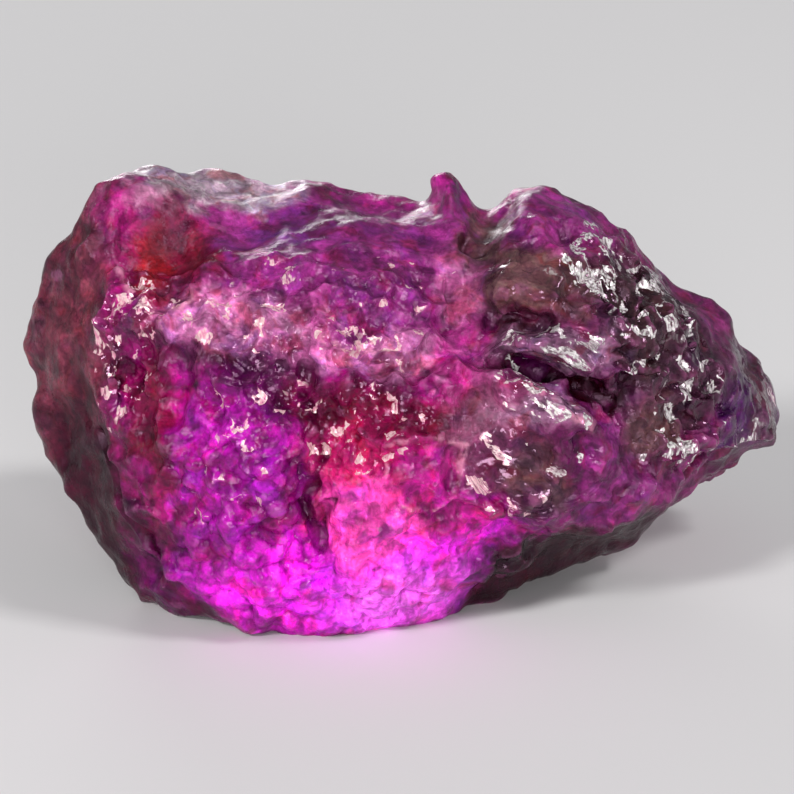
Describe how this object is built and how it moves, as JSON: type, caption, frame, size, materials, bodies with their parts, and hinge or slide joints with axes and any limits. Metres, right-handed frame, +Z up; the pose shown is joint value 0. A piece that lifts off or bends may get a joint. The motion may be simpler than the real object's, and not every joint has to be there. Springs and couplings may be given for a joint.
{
  "type": "rough sapphire",
  "caption": "Rough broken lump of purple-pink sapphire, long and tapering to one end, with ledges, pits and a flat fracture face it rests on.",
  "frame": {"origin": "middle of the base of the stone's box, on the surface that the stone rests on", "axes": "+X along the stone's length, towards its thin end; +Y away from the side with the slit and ledges; +Z up"},
  "size_m": [0.0662, 0.0392, 0.0356],
  "materials": {
    "sapphire": "rough fractured corundum: purple to magenta with red, violet and grey-brown patches, glassy glints on its facets"
  },
  "bodies": {
    "root": {"rough_sapphire": "sapphire"}
  },
  "joints": []
}
